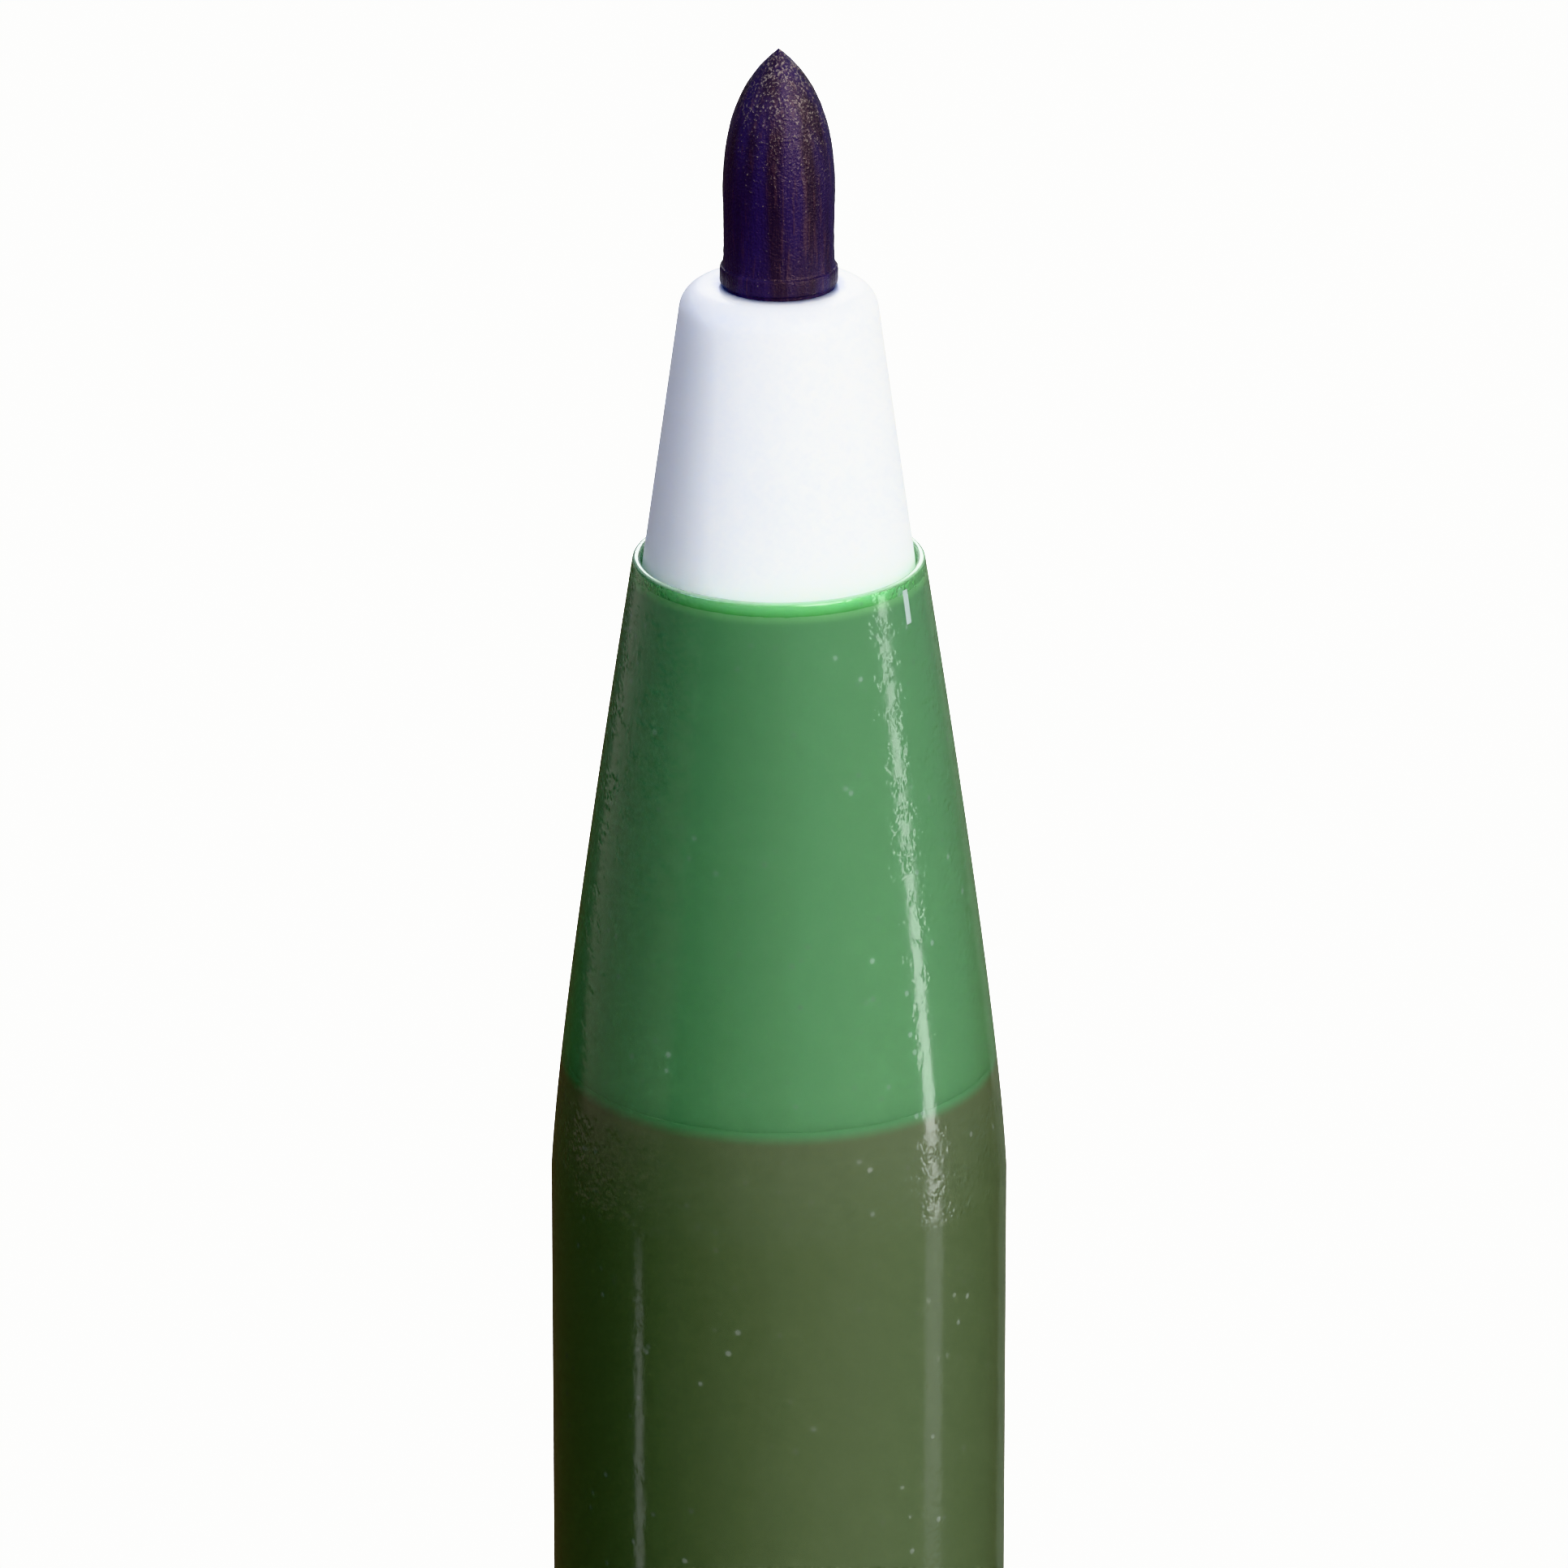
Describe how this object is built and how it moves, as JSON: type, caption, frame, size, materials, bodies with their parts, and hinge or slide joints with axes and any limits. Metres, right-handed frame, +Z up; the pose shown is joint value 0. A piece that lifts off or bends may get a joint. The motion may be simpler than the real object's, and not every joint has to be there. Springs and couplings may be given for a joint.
{
  "type": "fabric marking pen",
  "caption": "Felt-tip pen for marking cloth, standing nib up on its posted cap, with a pull-off cap, a pocket clip and the ink reservoir inside.",
  "frame": {"origin": "centre of the cap's flat closed end, which the pen stands on", "axes": "+Z up along the pen towards the nib, +X towards the pocket clip"},
  "size_m": [0.0141, 0.012, 0.1603],
  "materials": {
    "barrel": "satin, see-through green moulded plastic",
    "nib_holder": "satin white moulded plastic",
    "nib": "matt bonded fibre soaked with violet ink",
    "reservoir_core": "matt fibre bundle soaked with violet ink",
    "reservoir_film": "thin glossy film",
    "end_plug": "satin white moulded plastic",
    "cap_shell": "satin, see-through green moulded plastic",
    "cap_liner": "satin white moulded plastic",
    "cap_crown": "gloss violet moulded plastic",
    "cap_clip": "satin green moulded plastic"
  },
  "bodies": {
    "cap": {"cap_shell": "cap_shell", "cap_liner": "cap_liner", "cap_crown": "cap_crown"},
    "pen": {"barrel": "barrel", "nib_holder": "nib_holder", "nib": "nib", "reservoir_core": "reservoir_core", "reservoir_film": "reservoir_film", "end_plug": "end_plug"},
    "clip": {"cap_clip": "cap_clip"}
  },
  "joints": [
    {"name": "pen_pull", "type": "slide", "parent": "cap", "child": "pen", "axis": [0, 0, 1], "range_m": [0, 0.022]},
    {"name": "clip_flex", "type": "hinge", "parent": "cap", "child": "clip", "pos_m": [0.005, 0, 0.002], "axis": [0, 1, 0], "range_deg": [0, 4], "stiffness_Nm_per_rad": 0.5}
  ]
}
